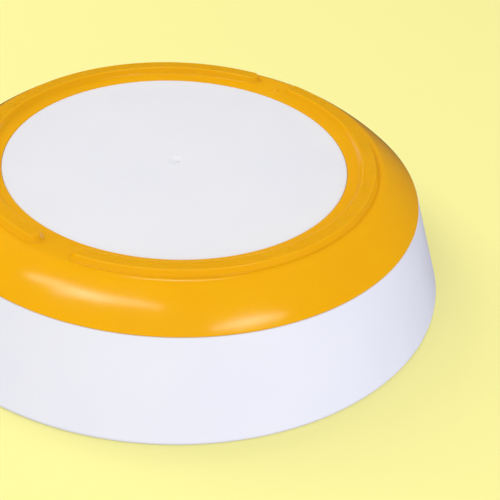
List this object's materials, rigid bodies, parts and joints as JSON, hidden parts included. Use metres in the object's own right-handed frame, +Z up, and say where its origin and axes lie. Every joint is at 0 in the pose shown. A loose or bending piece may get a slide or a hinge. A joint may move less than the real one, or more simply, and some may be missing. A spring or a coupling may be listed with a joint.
{
  "type": "baby bowl with anti-slip base ring",
  "caption": "Shallow round stiff plastic baby bowl with sloping wall and flat base; a removable soft anti-slip ring with arc-shaped pads covers the base corner.",
  "frame": {"origin": "centre of the circle on which the two soft pads meet the table, at table height", "axes": "+Z up along the bowl's axis, out of its mouth; the two gaps between the pads lie on the Y axis, the one with the moulding gate mark at +Y"},
  "size_m": [0.15, 0.15, 0.0372],
  "materials": {
    "white_plastic": "satin moulded polypropylene, smooth",
    "orange_elastomer": "satin thermoplastic elastomer, smooth and slightly soft"
  },
  "bodies": {
    "bowl": {"bowl_body": "white_plastic"},
    "soft_ring": {"base_ring": "orange_elastomer"}
  },
  "joints": [
    {"name": "ring_pull_off", "type": "slide", "parent": "bowl", "child": "soft_ring", "axis": [0, 0, -1], "range_m": [0, 0.02]}
  ]
}
